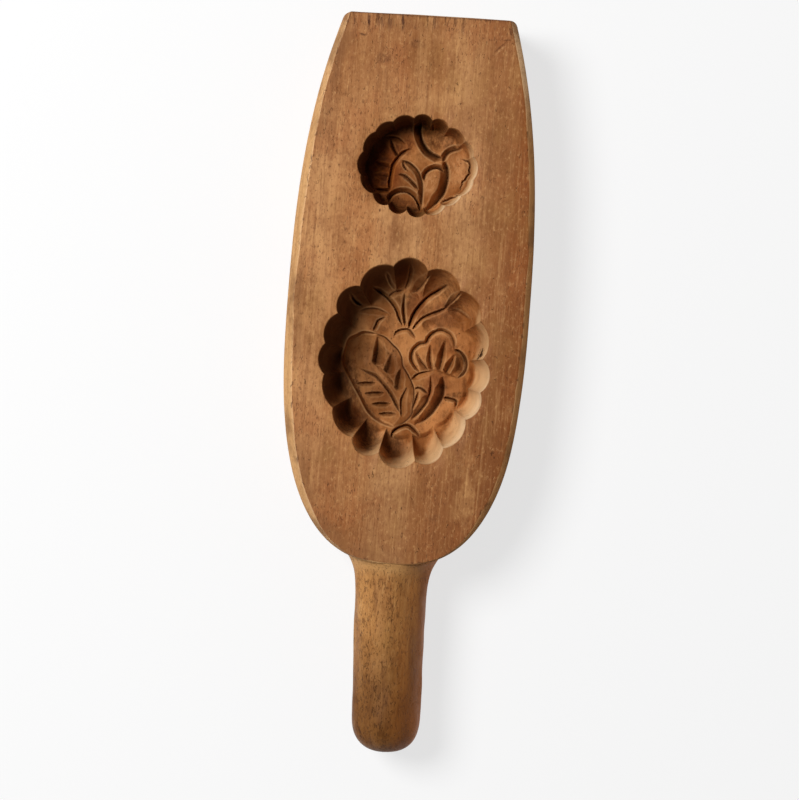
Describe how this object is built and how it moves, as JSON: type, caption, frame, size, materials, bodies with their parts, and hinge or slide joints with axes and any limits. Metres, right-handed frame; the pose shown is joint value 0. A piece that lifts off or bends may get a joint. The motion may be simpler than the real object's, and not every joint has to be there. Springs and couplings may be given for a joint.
{
  "type": "wooden mooncake mold",
  "caption": "Flat wooden paddle mold with a large and a small scalloped, carved cavity in its front face and a round grip, for pressing and knocking out cakes.",
  "frame": {"origin": "under the middle of the whole mold's length and width, on the flat back face", "axes": "+Y from the grip's butt to the straight free end, +Z out of the carved front face, +X across the paddle, to the right with the free end up and the carving towards the viewer"},
  "size_m": [0.099, 0.3, 0.035],
  "materials": {
    "board_wood": "oiled, worn, reddish brown, grain along the length",
    "handle_wood": "polished by the hand, golden brown, grain along the length"
  },
  "bodies": {
    "root": {"mold_board": "board_wood", "handle": "handle_wood"}
  },
  "joints": []
}
